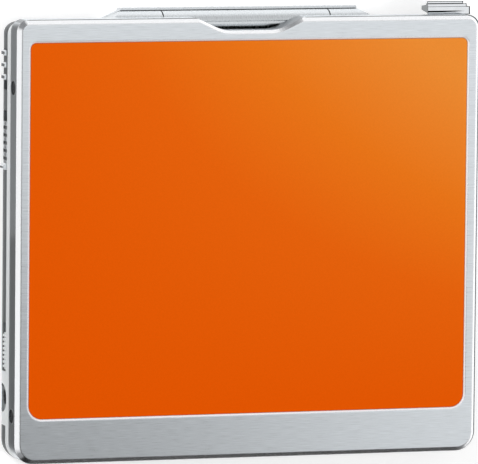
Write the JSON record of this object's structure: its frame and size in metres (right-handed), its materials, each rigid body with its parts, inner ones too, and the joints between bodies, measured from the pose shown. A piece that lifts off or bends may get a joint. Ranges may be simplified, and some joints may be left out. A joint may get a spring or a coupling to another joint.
{
  "type": "portable disc player",
  "caption": "Slim pocket player for small cartridge discs: hinged silver lid with an orange panel, thumb notch over a barrel hinge, side sliders and a chrome play lever.",
  "frame": {"origin": "centre of the case outline on the flat underside, lid closed", "axes": "+Z out of the lid face, +Y towards the barrel hinge, +X to the right when the hinge is away from the viewer"},
  "size_m": [0.0794, 0.0742, 0.0108],
  "materials": {
    "lid_aluminium": "fine brushed, satin",
    "panel_orange": "satin orange with a fine metallic grain",
    "frame_pale": "pale silver, satin",
    "cabinet_grey": "dark silver, satin",
    "knob_silver": "silver, satin",
    "barrel_silver": "satin",
    "lever_chrome": "bright",
    "steel": "satin",
    "dark_steel": "blackened",
    "black_plastic": "matt",
    "black_rubber": "matt",
    "board_green": "solder mask",
    "copper": "enamelled wire",
    "gold": "plated",
    "lens_glass": "coated",
    "cell_blue": "satin sleeve"
  },
  "bodies": {
    "case": {"bottom_cabinet": "cabinet_grey", "hinge_cover": "barrel_silver", "mid_frame": "frame_pale", "hinge_block": "barrel_silver", "hinge_pin": "steel", "hinge_spring": "steel", "chassis_plate": "steel", "chassis_dampers": "black_rubber", "spindle_motor": "black_plastic", "motor_coils": "copper", "guide_rods": "steel", "feed_motor": "steel", "circuit_board": "board_green", "board_chips": "black_plastic", "headphone_jack": "black_plastic", "jack_bezel": "frame_pale", "battery_cell": "cell_blue", "battery_contacts": "gold", "charge_terminals": "gold", "bottom_screws": "steel", "switch_bodies": "black_plastic", "open_spring": "steel", "lever_switch": "black_plastic"},
    "lid": {"lid_shell": "lid_aluminium", "face_panel": "panel_orange", "lid_frame": "black_plastic", "hinge_knuckles": "barrel_silver", "disc_holder": "steel", "holder_springs": "steel", "shutter_opener": "gold", "lid_screws": "dark_steel", "latch_strike": "steel"},
    "turntable": {"turntable": "steel", "turntable_magnet": "black_plastic"},
    "pickup": {"optical_pickup": "black_plastic", "lens_actuator": "black_plastic", "objective_lens": "lens_glass"},
    "lead_screw": {"lead_screw": "steel"},
    "open_slider": {"open_slider": "knob_silver", "latch_plate": "steel"},
    "hold_switch": {"hold_switch": "cabinet_grey"},
    "tone_switch": {"tone_switch": "frame_pale"},
    "play_lever": {"play_lever": "lever_chrome"}
  },
  "joints": [
    {"name": "lid_hinge", "type": "hinge", "parent": "case", "child": "lid", "pos_m": [0, 0.0346, 0.0042], "axis": [-1, 0, 0], "range_deg": [0, 32]},
    {"name": "turntable_spin", "type": "hinge", "parent": "case", "child": "turntable", "pos_m": [0, -0.001, 0.003], "axis": [0, 0, 1], "continuous": true},
    {"name": "pickup_slide", "type": "slide", "parent": "case", "child": "pickup", "axis": [1, 0, 0], "range_m": [0, 0.01641]},
    {"name": "lead_screw_spin", "type": "hinge", "parent": "case", "child": "lead_screw", "pos_m": [0.02, 0.01, 0.00276], "axis": [1, 0, 0], "range_deg": [0, 5912]},
    {"name": "open_slide", "type": "slide", "parent": "case", "child": "open_slider", "axis": [0, 1, 0], "range_m": [0, 0.0016], "stiffness_N_per_m": 150},
    {"name": "hold_slide", "type": "slide", "parent": "case", "child": "hold_switch", "axis": [0, -1, 0], "range_m": [0, 0.0014]},
    {"name": "tone_slide", "type": "slide", "parent": "case", "child": "tone_switch", "axis": [0, 1, 0], "range_m": [0, 0.0015]},
    {"name": "play_slide", "type": "slide", "parent": "case", "child": "play_lever", "axis": [-1, 0, 0], "range_m": [0, 0.0015], "stiffness_N_per_m": 200}
  ],
  "couplings": [
    {"joint": "lead_screw_spin", "follows": "pickup_slide", "rad_per_m": 6283.2}
  ]
}
